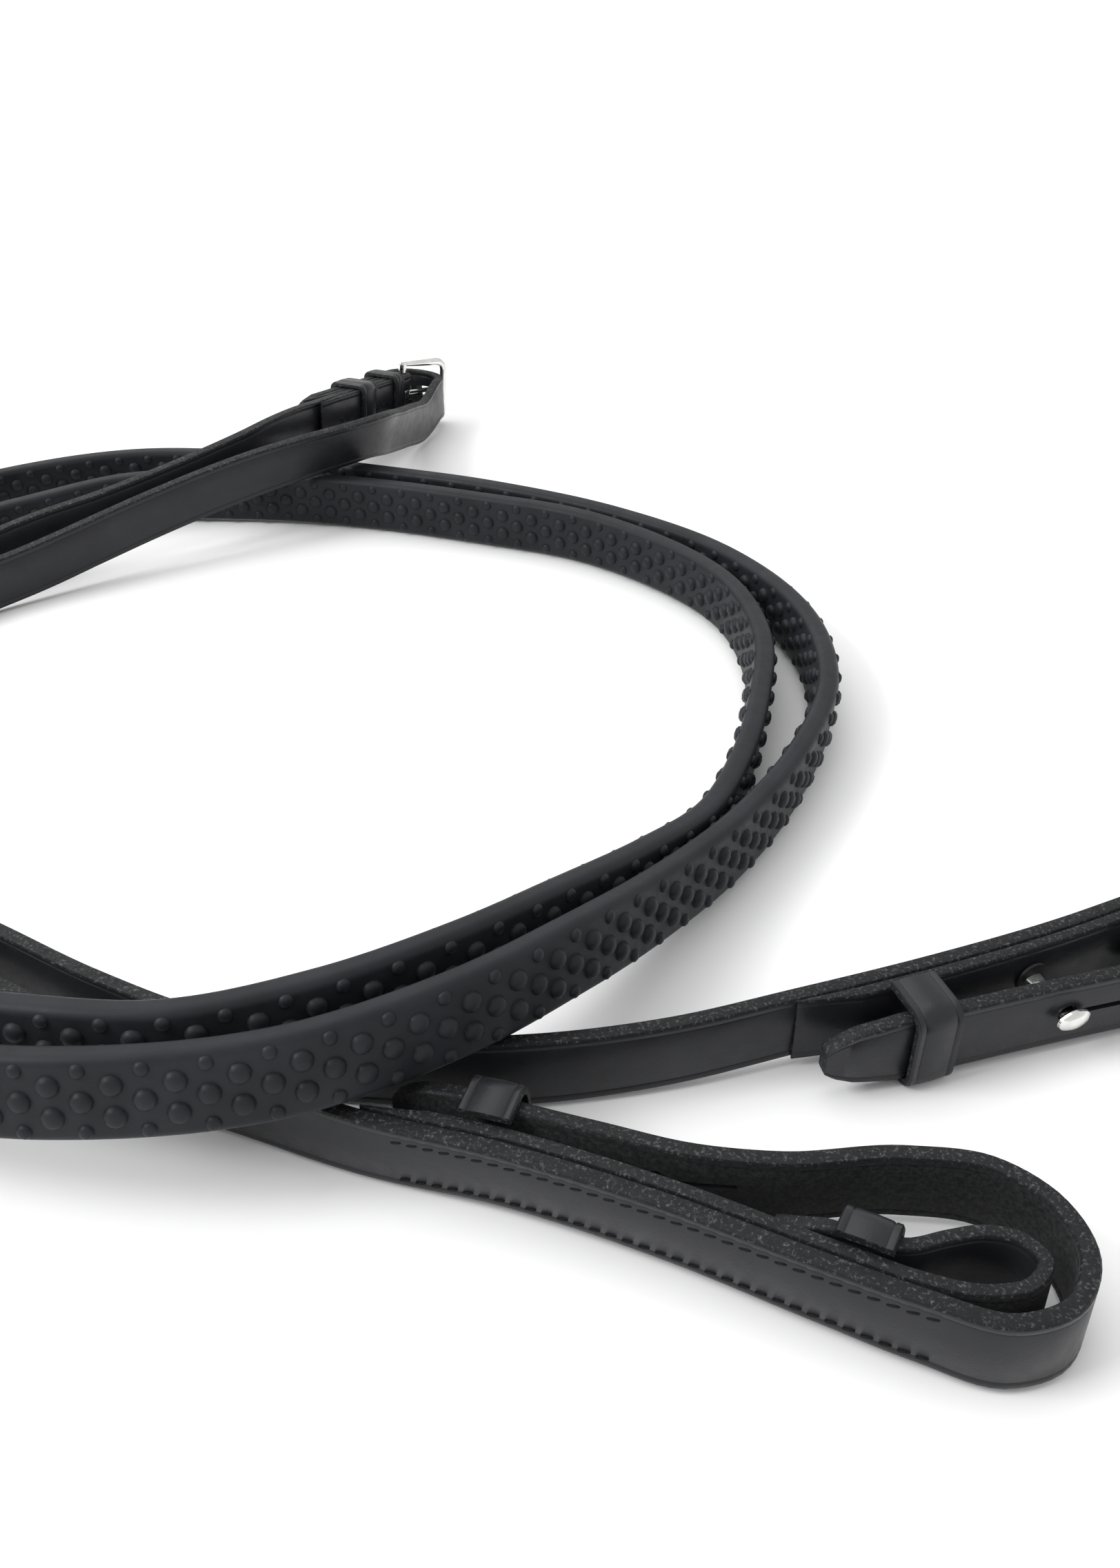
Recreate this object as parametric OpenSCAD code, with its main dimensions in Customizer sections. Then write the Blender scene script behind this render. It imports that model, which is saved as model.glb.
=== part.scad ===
// A pair of rubber-grip riding reins, laid on edge on a flat surface in one loose loop.
// Each rein is a leather hand strap, a rubber-covered length and a leather bit strap with
// a hook-stud billet. The two reins are joined by a buckle at the middle.
// Millimetres, +Z up. The origin is on the surface, under the middle of the whole coil.

/* [Straps] */
// Width of the leather straps
strap_w = 15; // [14:0.5:16]
// Thickness of the leather straps
strap_t = 3.2; // [2.8:0.1:3.4]
// Thickness of the lining strip at each bit end
lining_t = 2.6; // [2:0.1:2.8]
// Width of the rubber sleeve
grip_w = 16.4; // [16:0.1:17]
// Thickness of the rubber sleeve, without its pimples
grip_t = 5.4; // [5:0.1:5.8]
// Length of each rubber sleeve
grip_run = 860; // [820:5:880]

/* [Keepers] */
// Length of a keeper along the strap
keeper_run = 9.5; // [8:0.5:12]
// Thickness of the keeper leather
keeper_t = 1.5; // [1.2:0.1:1.7]
// Distance from the outer keeper to the inner keeper of a bit end
keeper_gap = 63.5; // [60:0.5:65]
// Distance from the outer keeper to the hook stud
stud_gap = 28; // [26:1:29]

/* [Buckle] */
// Diameter of the buckle wire
wire_d = 2.8; // [2.4:0.1:3]
// Height of the buckle
buckle_h = 24; // [23:0.5:26]
// Distance from the hinge bar to the outer bar
buckle_run = 18.5; // [18:0.1:19]
// Length of the buckle leather that is folded round the hinge bar
chape_run = 64; // [58:1:66]
// Place of the sliding runner, from the hinge bar
runner_at = 33; // [26:1:40]

/* [Hidden] */
$fn = 32;

black = "#26282a";
rubber = "#34373a";
steel = "#c9cbcc";
thread = "#151617";

// The buckle end: a straight stretch that comes down to the surface from the ridge it crosses.
// Along it, u runs back from the hinge bar, n to the side of rein B's long part, and w up.
buckle_at = [-23.4, 203.3, 14.4];
buckle_turn = -113;
buckle_pitch = 8;
straight = 72;           // how far the straight stretch runs back
frame_swing = 28;        // how far the buckle is turned about its hinge bar
wrap_t = 2;              // leather of the folded chape
bar_r = strap_t / 2 - 0.05;
near_n = 12.4;           // rein B's long part where it leaves the fold
far_n = -5.5;            // rein B's point, on the other side of the chape
fold_u = -4.4;           // where rein B's fold starts
fold_drop = 1.6;         // how far rein B comes down round its fold
point_u = 66;            // how far back rein B's point reaches
prong_r = 0.9;
prong_turn = asin((wire_d / 2 + prong_r + 0.05) / buckle_run); // it rests beside the outer bar
fold_r = (near_n - far_n) / 2;
fold_n = (near_n + far_n) / 2;

function buckle_point(u, n) = buckle_at
    + u * [cos(buckle_pitch) * cos(buckle_turn), cos(buckle_pitch) * sin(buckle_turn), sin(buckle_pitch)]
    + n * [-sin(buckle_turn), cos(buckle_turn), 0];
function level(p) = [p.x, p.y, p.z, 0];

// Routes of the two reins: x, y, height of the strap's middle, and lean towards the left.
a_route = concat(
    [for (u = [6, 26, 48, 64, straight]) level(buckle_point(u, 0))],
    [
        [-58.6, 120.5, 26.3, 4], [-66, 107.5, 26.2, 6], [-76, 97, 24.5, 6], [-89, 88, 21.5, 6],
        [-103, 81, 18, 6], [-121, 72, 14.5, 5], [-141, 57, 10.5, 3], [-160, 33, 8.5, 1],
        [-170, 0, 8.2, 0], [-174, -35, 8.2, 0], [-171, -70, 9, 0], [-162, -103, 10.5, 2],
        [-144, -131, 14, 5], [-119, -152, 18.5, 8], [-91, -166, 22.5, 10], [-48, -176, 25, 10],
        [-9, -171, 25.2, 10], [18, -157, 25.2, 9], [38, -137, 21.8, 7], [56, -112, 15, 4],
        [75, -84, 10.5, 0], [91.5, -54, 9.3, -5], [103, -21, 9.3, -6], [102.5, 17, 9.3, -3],
        [84, 57, 9.3, 0], [53, 86, 9.3, 2], [15, 107, 9.3, 3], [-26, 123, 8.7, 3],
        [-68, 136, 8.5, 3], [-108, 137, 8.8, 3], [-147, 118, 9.3, 3], [-171, 93, 9.8, 3],
        [-187, 61, 12, 3], [-193, 29, 16, 2], [-191, -1, 21, 0], [-184, -27, 24.6, 0],
        [-171, -51, 25.8, 0], [-154, -73, 25.6, 0], [-134, -93, 22, 0], [-112, -111, 14.5, 0],
        [-91, -125, 9.7, 0], [-70, -137, 8.2, 0], [-48, -150, 8.2, 0], [-23, -160, 8.2, -2],
        [2, -171, 8.4, -6], [26, -179.2, 9.6, -9], [53, -190.4, 9.6, -8], [76.5, -202.4, 9.6, -6],
        [90.5, -209, 9.3, -4], [103, -213, 8.6, -2], [112, -210, 8.4, -1], [117, -201.5, 8.4, 0],
        [115, -190.5, 8.6, 1], [107, -183, 9.2, 3], [93, -180.7, 9.7, 4], [72, -182.3, 10, 4],
        [57, -181, 10.3, 1], [43, -177.3, 10.7, -3], [29.8, -173.1, 10.8, -5], [18, -168.4, 10.8, -5],
        [7.5, -164, 10.8, -5]
    ]);
b_route = concat(
    [for (u = [point_u, 40, 18, 7, fold_u]) level(buckle_point(u, far_n))],
    [for (turn = [30:30:180])
        level(buckle_point(fold_u - fold_r * sin(turn), fold_n - fold_r * cos(turn)))
        - [0, 0, fold_drop * turn / 180, 0]],
    [
        [-14, 186.4, 10.4, 5], [-18, 167.5, 14.6, 10], [-21.6, 148.4, 19.5, 14], [-25.3, 130.2, 24.6, 16],
        [-34, 118.5, 25.6, 15], [-45.5, 107, 25.9, 12], [-58, 97, 25, 8], [-74, 87, 22, 6],
        [-89, 77.5, 18.5, 6], [-104, 68, 14.5, 5], [-118, 58, 11, 3], [-133, 45.5, 8.7, 2],
        [-146, 30, 8.3, 0], [-156, 1, 8.3, 0], [-160, -33, 8.3, 0], [-157, -67, 8.6, 0],
        [-148, -97, 11, 2], [-130, -123, 15, 5], [-106, -143, 19.5, 7], [-80, -156.5, 23.5, 7],
        [-54, -163, 25, 6], [-31, -164.5, 25.2, 6], [-5, -156, 25.2, 5], [18, -142, 24.6, 4],
        [36, -122.5, 20, 2], [53, -102.5, 15, 0], [68, -81, 10.5, -3], [77.5, -57, 9.3, -6],
        [85, -27, 9.3, -7], [89, 4, 9.3, -6], [83.5, 36, 9.3, -3], [59.5, 70, 9.3, 0],
        [42, 84, 9.3, 2], [9, 98, 9.3, 3], [-28, 110, 9.3, 3], [-68, 116, 9.3, 3],
        [-105, 114, 9.3, 3], [-132, 95, 9.3, 3], [-156, 71, 10.3, 3], [-172, 41, 13.5, 2],
        [-178, 11, 19, 1], [-175, -17, 24.2, 0], [-166, -41, 25.4, 0], [-151, -63, 24.2, 0],
        [-132, -83, 20, 0], [-110, -101, 14, 0], [-91, -112, 9.7, 0], [-73, -122, 8.2, 0],
        [-52, -135, 8.2, 0], [-27, -147, 8.2, 0], [0, -152.5, 8.2, 0], [31, -153, 8.4, 0],
        [56, -149, 9, -2], [80, -142, 10, -3], [105, -133.3, 10.2, -3], [133, -122, 10.2, -2],
        [154, -111.5, 9.8, -1], [169, -104, 9.4, 0], [181, -99, 8.8, 0], [190, -101.5, 8.6, 0],
        [193.5, -110, 8.6, 0], [188, -119, 8.8, 1], [175, -124.5, 9, 2], [156, -130.5, 9.2, 3],
        [137.5, -136, 9.3, 3], [123.5, -140.2, 9.3, 3], [109.3, -144.7, 9.3, 3], [97, -148.4, 9.3, 3],
        [84, -151.4, 9.3, 3]
    ]);

// The bulb and the returned leg of each lining strip, past its stitched leg.
a_bulb = [
    [101, -207.6, 8.8, -2], [107, -206.2, 8.6, -1], [110, -202, 8.6, 0], [107.5, -197.9, 8.7, 1],
    [102, -196.4, 9, 3], [96, -197.6, 9.4, 4], [89, -199.6, 10, 5], [81, -197.2, 10.2, 6],
    [70, -192.2, 10.2, 6]
];
b_bulb = [
    [180, -103.8, 8.8, 0], [185.4, -105, 8.6, 0], [187.6, -108.2, 8.6, 0], [186, -111.2, 8.6, 0],
    [181.4, -111.8, 8.8, 0], [175.5, -110.6, 9, 0], [168.3, -112.3, 9.2, -1], [160, -116.1, 9.5, -1],
    [149.4, -121.2, 9.8, -1]
];

// --- Curves ---
function xyz(p) = [p.x, p.y, p.z];
function gap(a, b) = norm(xyz(b) - xyz(a));
function unit(v) = v / norm(v);

// A smooth curve through the points, with spans no longer than step.
function flow(p, step) =
    let (
        last = len(p) - 1,
        h = [for (i = [0:last - 1]) gap(p[i], p[i + 1])],
        v = [for (i = [0:last - 1]) (p[i + 1] - p[i]) / h[i]],
        g = [for (i = [0:last])
            i == 0 ? v[0] : i == last ? v[last - 1] : (v[i - 1] * h[i] + v[i] * h[i - 1]) / (h[i] + h[i - 1])]
    )
    [
        for (i = [0:last - 1])
            let (m = max(2, ceil(h[i] / step)))
            for (k = [0:m - 1])
                let (t = k / m, q = t * t, c = q * t)
                (2 * c - 3 * q + 1) * p[i] + (c - 2 * q + t) * h[i] * g[i]
                + (3 * q - 2 * c) * p[i + 1] + (c - q) * h[i] * g[i + 1],
        p[last]
    ];

// A path is its points and a table from distance along it to place in the list.
function path(points) =
    let (c = flow(points, 4), last = len(c) - 1)
    [c, [for (i = 0, s = 0; i <= last; i = i + 1, s = i <= last ? s + gap(c[i - 1], c[i]) : s) [s, i]]];
function path_length(p) = p[1][len(p[1]) - 1][0];
function at(p, s) =
    let (f = lookup(s, p[1]), i = min(floor(f), len(p[0]) - 2))
    p[0][i] * (1 - f + i) + p[0][i + 1] * (f - i);

// Place, direction, side and upright of a strap at distance s.
function frame(p, s) =
    let (
        here = at(p, s),
        d = unit(xyz(at(p, s + 0.5) - at(p, s - 0.5))),
        side = unit([-d.y, d.x, 0]),
        up = cross(d, side)
    )
    [xyz(here), d, cos(here[3]) * side - sin(here[3]) * up, cos(here[3]) * up + sin(here[3]) * side];
function beside(p, s, n) = let (f = frame(p, s), c = at(p, s)) concat(f[0] + n * f[2], [c[3]]);
// Distance along the path of the point nearest to xy, within a range.
function nearest(p, xy, from, to) =
    let (
        s = [for (s = [from:1:to]) s],
        d = [for (t = s) let (c = at(p, t)) norm([c.x, c.y] - xy)],
        best = min(d)
    )
    s[[for (i = [0:len(d) - 1]) if (d[i] == best) i][0]];

// Evenly spaced distances, no further apart than step.
function run(from, to, step) =
    let (m = max(1, ceil((to - from) / step))) [for (k = [0:m]) from + (to - from) * k / m];
function tail(v) = [for (i = [1:len(v) - 1]) v[i]];

// --- Swept solids ---
function bar_section(t, w, c) =
    let (x = t / 2, y = w / 2)
    [[-x, -y + c], [-x + c, -y], [x - c, -y], [x, -y + c], [x, y - c], [x - c, y], [-x + c, y], [-x, y - c]];
function skin(m, rings, first, flip) = [
    for (i = [0:rings - 2], j = [0:m - 1])
        let (
            a = first + i * 2 * m + j, b = first + i * 2 * m + (j + 1) % m,
            c = b + 2 * m, d = a + 2 * m
        )
        each flip ? [[a, b, c], [a, c, d]] : [[a, c, b], [a, d, c]]
];

// A solid strip: the section is swept over the distances; widths is [distance, width factor].
module strip(p, distances, section, side = 0, widths = [[0, 1]]) {
    m = len(section);
    rings = len(distances);
    points = [
        for (s = distances)
            let (f = frame(p, s), k = lookup(s, widths))
            for (q = section) f[0] + (q.x + side) * f[2] + q.y * k * f[3]
    ];
    faces = concat(
        [[for (j = [0:m - 1]) j]],
        [[for (j = [m - 1:-1:0]) (rings - 1) * m + j]],
        [for (i = [0:rings - 2], j = [0:m - 1])
            let (a = i * m + j, b = i * m + (j + 1) % m)
            each [[a, b + m, b], [a, a + m, b + m]]]
    );
    polyhedron(points, faces, convexity = 10);
}

// A hollow sleeve: outer and inner sections have the same number of corners.
module sleeve(p, distances, outer, inner) {
    m = len(outer);
    rings = len(distances);
    points = [
        for (s = distances)
            let (f = frame(p, s))
            for (q = concat(outer, inner)) f[0] + q.x * f[2] + q.y * f[3]
    ];
    last = (rings - 1) * 2 * m;
    faces = concat(
        skin(m, rings, 0, false),
        skin(m, rings, m, true),
        [for (j = [0:m - 1]) let (k = (j + 1) % m) each [[j, k, m + k], [j, m + k, m + j]]],
        [for (j = [0:m - 1]) let (k = (j + 1) % m)
            each [[last + j, last + m + k, last + k], [last + j, last + m + j, last + m + k]]]
    );
    polyhedron(points, faces, convexity = 10);
}

// Children drawn with x along the strap, y to its side and z up its width.
module on_strap(p, s) {
    f = frame(p, s);
    multmatrix([
        [f[1].x, f[2].x, f[3].x, f[0].x],
        [f[1].y, f[2].y, f[3].y, f[0].y],
        [f[1].z, f[2].z, f[3].z, f[0].z],
        [0, 0, 0, 1]
    ]) children();
}
module on_buckle() {
    translate(buckle_at) rotate([0, 0, buckle_turn]) rotate([0, -buckle_pitch, 0]) children();
}
module rounded(x, y, r) {
    square([x - 2 * r, y], center = true);
    square([x, y - 2 * r], center = true);
    for (i = [-1, 1], j = [-1, 1]) translate([i * (x / 2 - r), j * (y / 2 - r)]) circle(r);
}

// --- Places along the reins ---
a = path(a_route);
b = path(b_route);
a_end = path_length(a);
b_end = path_length(b);
a_keeper = nearest(a, [22.6, -178], a_end - 300, a_end - 160);
b_keeper = nearest(b, [99.5, -135.4], b_end - 300, b_end - 160);
a_fold = nearest(a, [117, -201.5], a_end - 200, a_end - 60);
b_fold = nearest(b, [193.5, -110], b_end - 200, b_end - 60);
grip_a_from = 330;       // where each sleeve starts, along its rein
grip_b_from = 357;
a_grip_span = [grip_a_from, grip_a_from + grip_run];
b_grip_span = [grip_b_from, grip_b_from + grip_run];
lining_lead = 22;        // the lining starts this far before the outer keeper
lining_n = strap_t / 2 + lining_t / 2 + 0.15;
bulb_start = 72;         // where the lining leaves the strap, past the outer keeper
a_billet = [9.9, 10.8];   // how far the billet stands off the strap, at the keeper and at the stud
b_billet = [12, 14.4];    // the same on rein B
point_taper = 14;

strap_section = bar_section(strap_t, strap_w, 0.5);
core_section = bar_section(strap_t - 0.4, strap_w - 1, 0.4);
sleeve_bore = bar_section(strap_t - 0.3, strap_w - 0.9, 0.4);
grip_section = bar_section(grip_t, grip_w, 1.5);
thread_section = [[-0.2, -0.35], [0.2, -0.35], [0.2, 0.35], [-0.2, 0.35]];

module hand_strap(p, from, to) {
    color(black) strip(p, run(from, to, 9), strap_section);
}
module core(p, span) {
    color(black) strip(p, run(span[0], span[1], 12), core_section);
}
module grip(p, span) {
    color(rubber) sleeve(p, run(span[0], span[1], 12), grip_section, sleeve_bore);
}

// The bit strap runs to the fold, turns back as the billet and ends in a point.
module bit_strap(p, from, keeper, fold, end, side, billet) {
    distances = concat(run(from, fold - 32, 9), tail(run(fold - 32, fold + 32, 3.2)),
        tail(run(fold + 32, end - point_taper, 8)), tail(run(end - point_taper, end, 3.5)));
    color(black) difference() {
        strip(p, distances, strap_section,
            widths = [[0, 1], [end - point_taper, 1], [end - 6, 0.82], [end - 2, 0.58], [end, 0.36]]);
        on_strap(p, keeper + stud_gap) translate([0, side * (billet[1] - 4), 0]) {
            rotate([-90 * side, 0, 0]) cylinder(r = 2, h = 8);
            translate([0, side > 0 ? 0 : -8, -0.6]) cube([13, 8, 1.2]);
        }
    }
}

// The lining is sewn along the strap, turns back in a small bulb and ends in a point.
function lining_route(p, keeper, side, bulb) = concat(
    [for (s = run(keeper - lining_lead, keeper + bulb_start, 8)) beside(p, s, side * lining_n)], bulb);
module lining(p, keeper, side, bulb) {
    l = path(lining_route(p, keeper, side, bulb));
    end = path_length(l);
    sewn = lining_lead + bulb_start - 6;
    color(black) strip(l, concat(run(0, sewn, 6), tail(run(sewn, end - 28, 2.6)), tail(run(end - 28, end, 4))),
        bar_section(lining_t, strap_w, 0.4), widths = [[0, 1], [end - 8, 1], [end, 0.5]]);
}

// A keeper of a bit end is a loop whose two ends are tucked in and sewn behind the lining.
module bit_keeper(p, s, side, reach) {
    inner = strap_w + 0.8;
    foot = lining_n + lining_t / 2 + 0.1;
    color(black) on_strap(p, s) mirror([0, side > 0 ? 0 : 1, 0]) rotate([90, 0, 90])
        linear_extrude(keeper_run, center = true) difference() {
            translate([foot + (reach + keeper_t - foot) / 2 - 3, 0])
                rounded(reach + keeper_t - foot + 6, inner + 2 * keeper_t, 3);
            translate([foot + (reach - foot) / 2 - 4, 0]) rounded(reach - foot + 8, inner, 1.6);
            translate([foot - 20, -20]) square([20, 40]);
        }
}

// The stud stands on the lining; its oval head holds the billet through a keyhole slit.
module hook_stud(p, keeper, side, billet) {
    foot = lining_n + lining_t / 2 + 0.85;
    head = billet[1] + strap_t / 2 + 0.6;
    color(steel) on_strap(p, keeper + stud_gap) mirror([0, side > 0 ? 0 : 1, 0]) rotate([-90, 0, 0]) {
        translate([0, 0, foot]) cylinder(r = 1.3, h = head - foot + 0.2);
        translate([0, 0, head]) linear_extrude(1.8) rounded(7.6, 4.6, 2.25);
    }
}
module stud_plate(p, keeper, side) {
    foot = lining_n + lining_t / 2 + 0.05;
    color(steel) on_strap(p, keeper + stud_gap) mirror([0, side > 0 ? 0 : 1, 0]) rotate([-90, 0, 0])
        translate([0, 0, foot]) cylinder(r = 3.6, h = 0.8);
}

// Two rows of thread on the outer face of the strap, over the lining.
module bit_stitching(p, keeper, side) {
    face = -side * (strap_t / 2 + 0.26);
    color(thread) for (row = [-1, 1]) strip(p, run(keeper - 14, keeper + bulb_start + 6, 6),
        [for (q = thread_section) [q.x, q.y + row * (strap_w / 2 - 2)]], side = face);
}

// Thread across both faces at each end of the rubber.
module grip_stitching(p, span) {
    color(thread) for (end = [span[0] + 4, span[1] - 4], face = [-1, 1])
        on_strap(p, end) translate([-0.4, face * (grip_t / 2 + 0.4) - 0.2, -5]) cube([0.8, 0.4, 10]);
}

module rein_a_hand_strap() { hand_strap(a, 0, a_grip_span[0]); }
module rein_a_core() { core(a, a_grip_span); }
module rein_a_grip() { grip(a, a_grip_span); }
module rein_a_bit_strap() { bit_strap(a, a_grip_span[1], a_keeper, a_fold, a_end, 1, a_billet); }
module rein_a_lining() { lining(a, a_keeper, 1, a_bulb); }
module rein_a_outer_keeper() { bit_keeper(a, a_keeper, 1, a_billet[0] + strap_t / 2 + 0.6); }
module rein_a_inner_keeper() { bit_keeper(a, a_keeper + keeper_gap, 1, lining_n + 1.5 * lining_t + 3); }
module rein_a_hook_stud() { hook_stud(a, a_keeper, 1, a_billet); }
module rein_a_stud_plate() { stud_plate(a, a_keeper, 1); }
module rein_a_bit_stitching() { bit_stitching(a, a_keeper, 1); }
module rein_a_grip_stitching() { grip_stitching(a, a_grip_span); }

// Rein B's hand strap starts at its point, turns through the buckle and runs back beside it.
module rein_b_hand_strap() {
    turn = point_u - fold_u;
    fold_end = turn + PI * fold_r;
    distances = concat([0, 2, 6, 12], tail(run(12, turn - 2, 12)), tail(run(turn - 2, fold_end + 2, 2.4)),
        tail(run(fold_end + 2, b_grip_span[0], 9)));
    color(black) difference() {
        strip(b, distances, strap_section, widths = [[0, 0.35], [2, 0.6], [6, 0.85], [12, 1]]);
        on_buckle() rotate([0, 0, prong_turn - frame_swing]) translate([-17.3, -4.4, -2.6]) cube([7, 5.8, 3.8]);
        for (u = [19.5, 57])
            on_buckle() translate([u, far_n + 4, 0]) rotate([90, 0, 0]) cylinder(r = 1.6, h = 8);
    }
}
module rein_b_core() { core(b, b_grip_span); }
module rein_b_grip() { grip(b, b_grip_span); }
module rein_b_bit_strap() { bit_strap(b, b_grip_span[1], b_keeper, b_fold, b_end, -1, b_billet); }
module rein_b_lining() { lining(b, b_keeper, -1, b_bulb); }
module rein_b_outer_keeper() { bit_keeper(b, b_keeper, -1, b_billet[0] + strap_t / 2 + 0.6); }
module rein_b_inner_keeper() { bit_keeper(b, b_keeper + keeper_gap, -1, lining_n + 1.5 * lining_t + 3); }
module rein_b_hook_stud() { hook_stud(b, b_keeper, -1, b_billet); }
module rein_b_stud_plate() { stud_plate(b, b_keeper, -1); }
module rein_b_bit_stitching() { bit_stitching(b, b_keeper, -1); }
module rein_b_grip_stitching() { grip_stitching(b, b_grip_span); }

// The chape is folded round the hinge bar, with rein A sewn between its two legs.
module buckle_chape() {
    bore = strap_t / 2;
    gap = bore + 0.02;
    outer = bore + wrap_t;
    tip = bore + 0.5;
    color(black) on_buckle() difference() {
        translate([0, 0, -strap_w / 2]) linear_extrude(strap_w) difference() {
            union() {
                circle(outer);
                polygon([[0, -outer], [chape_run - 12, -outer], [chape_run, -tip],
                    [chape_run, tip], [chape_run - 12, outer], [0, outer]]);
            }
            circle(bore);
            polygon([[0, -bore], [6, -bore], [6, -gap], [chape_run + 1, -gap],
                [chape_run + 1, gap], [6, gap], [6, bore], [0, bore]]);
        }
        translate([-8, -8, -2]) cube([12.5, 16, 4]);
    }
}
module buckle_frame() {
    reach = buckle_h / 2 - wire_d / 2;
    wire_r = wire_d / 2;
    color(steel) on_buckle() rotate([0, 0, -frame_swing]) {
        cylinder(r = bar_r, h = 2 * reach, center = true);
        translate([-buckle_run, 0, 0]) cylinder(r = wire_r, h = 2 * reach, center = true);
        for (side = [-1, 1]) {
            translate([-buckle_run, 0, side * reach]) rotate([0, 90, 0]) cylinder(r = wire_r, h = buckle_run);
            translate([-buckle_run, 0, side * reach]) sphere(wire_r);
            translate([0, 0, side * reach]) sphere(bar_r);
        }
    }
}
module buckle_prong() {
    color(steel) on_buckle() rotate([0, 0, prong_turn - frame_swing]) difference() {
        union() {
            cylinder(r = bar_r + 1.3, h = 3, center = true);
            translate([-1, 0, 0]) rotate([0, -90, 0]) cylinder(r = prong_r, h = buckle_run + 0.8);
        }
        cylinder(r = bar_r + 0.05, h = 5, center = true);
    }
}
module buckle_band(u, run_u) {
    inside = [far_n - strap_t / 2 - 0.3, strap_t / 2 + wrap_t + 0.3];
    color(black) on_buckle() translate([u, 0, 0]) rotate([90, 0, 90]) linear_extrude(run_u, center = true)
        translate([(inside[0] + inside[1]) / 2, 0]) difference() {
            rounded(inside[1] - inside[0] + 2 * keeper_t, strap_w + 0.6 + 2 * keeper_t, 2.4);
            rounded(inside[1] - inside[0], strap_w + 0.6, 0.6);
        }
}
module fixed_keeper() { buckle_band(11, 5.5); }
module runner() { buckle_band(runner_at, keeper_run); }
module chape_stitching() {
    color(thread) on_buckle() for (side = [-1, 1])
        translate([16, side * (strap_t / 2 + wrap_t + 0.12) - 0.1, -1.5]) cube([chape_run - 28, 0.2, 1.4]);
}

rein_a_hand_strap();
rein_a_core();
rein_a_grip();
rein_a_bit_strap();
rein_a_lining();
rein_a_outer_keeper();
rein_a_inner_keeper();
rein_a_hook_stud();
rein_a_stud_plate();
rein_a_bit_stitching();
rein_a_grip_stitching();
rein_b_hand_strap();
rein_b_core();
rein_b_grip();
rein_b_bit_strap();
rein_b_lining();
rein_b_outer_keeper();
rein_b_inner_keeper();
rein_b_hook_stud();
rein_b_stud_plate();
rein_b_bit_stitching();
rein_b_grip_stitching();
buckle_chape();
buckle_frame();
buckle_prong();
fixed_keeper();
runner();
chape_stitching();
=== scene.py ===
"""Looks of a pair of rubber-grip leather reins, lying on edge in one loose loop.

Metres, +Z up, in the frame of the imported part. Every strap, sleeve, keeper and fitting is a
mesh swept along the same routes as the part's, with procedural leather, rubber and nickel.
"""

import math

import bmesh
import bpy
import numpy as np
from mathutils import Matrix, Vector


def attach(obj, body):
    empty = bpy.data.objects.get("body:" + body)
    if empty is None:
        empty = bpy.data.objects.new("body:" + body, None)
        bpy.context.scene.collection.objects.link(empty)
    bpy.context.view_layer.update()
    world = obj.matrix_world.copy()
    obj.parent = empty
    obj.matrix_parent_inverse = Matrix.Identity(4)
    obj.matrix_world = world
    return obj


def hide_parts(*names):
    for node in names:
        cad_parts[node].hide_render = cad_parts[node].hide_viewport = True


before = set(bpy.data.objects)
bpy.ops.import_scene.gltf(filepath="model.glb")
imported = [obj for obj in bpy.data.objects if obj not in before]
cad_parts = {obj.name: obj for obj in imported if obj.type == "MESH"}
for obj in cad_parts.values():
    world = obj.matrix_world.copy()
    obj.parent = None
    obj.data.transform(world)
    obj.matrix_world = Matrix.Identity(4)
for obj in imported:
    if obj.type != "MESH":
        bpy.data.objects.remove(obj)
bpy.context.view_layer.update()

# --- Sizes, as in the part ---
STRAP_W = 0.015
STRAP_T = 0.0032
LINING_T = 0.0026
GRIP_W = 0.0164
GRIP_T = 0.0054
KEEPER_RUN = 0.0095
KEEPER_T = 0.0015
KEEPER_GAP = 0.0635
STUD_GAP = 0.028
LINING_N = STRAP_T / 2 + LINING_T / 2 + 0.00015
LINING_LEAD = 0.022
BULB_START = 0.072
POINT_TAPER = 0.014
KEEPER_PLAY = 0.0006
GRIP_RUN = 0.86
GRIP_FROM = {"a": 0.33, "b": 0.357}
BILLET = {"a": (0.0099, 0.0108), "b": (0.012, 0.0144)}  # at the keeper, at the stud
SIDE = {"a": 1, "b": -1}
KEEPER_NEAR = {"a": (0.0226, -0.178), "b": (0.0995, -0.1354)}

# --- Buckle end: u runs back from the hinge bar, n to the side of rein B's long part ---
BUCKLE_AT = np.array((-0.0234, 0.2033, 0.0144))
BUCKLE_TURN = math.radians(-113)
BUCKLE_PITCH = math.radians(8)
STRAIGHT = 0.072
FRAME_SWING = math.radians(28)
WRAP_T = 0.002
BAR_R = STRAP_T / 2 - 0.00005
WIRE_R = 0.0014
BUCKLE_H = 0.024
BUCKLE_RUN = 0.0185
CHAPE_RUN = 0.064
RUNNER_AT = 0.033
FIXED_AT = 0.011
NEAR_N = 0.0124
FAR_N = -0.0055
FOLD_U = -0.0044
FOLD_DROP = 0.0016
POINT_U = 0.066
HOLES_U = (0.0195, 0.057)
PRONG_R = 0.0009
PRONG_TURN = math.asin((WIRE_R + PRONG_R + 0.00005) / BUCKLE_RUN)
FOLD_R = (NEAR_N - FAR_N) / 2
FOLD_N = (NEAR_N + FAR_N) / 2

U = np.array((
    math.cos(BUCKLE_PITCH) * math.cos(BUCKLE_TURN),
    math.cos(BUCKLE_PITCH) * math.sin(BUCKLE_TURN),
    math.sin(BUCKLE_PITCH),
))
N = np.array((-math.sin(BUCKLE_TURN), math.cos(BUCKLE_TURN), 0))
W = np.cross(U, N)


def buckle_point(u, n, drop=0.0):
    """A route point given in the buckle's own directions."""
    p = BUCKLE_AT + u * U + n * N
    return (p[0], p[1], p[2] - drop, 0)


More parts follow.
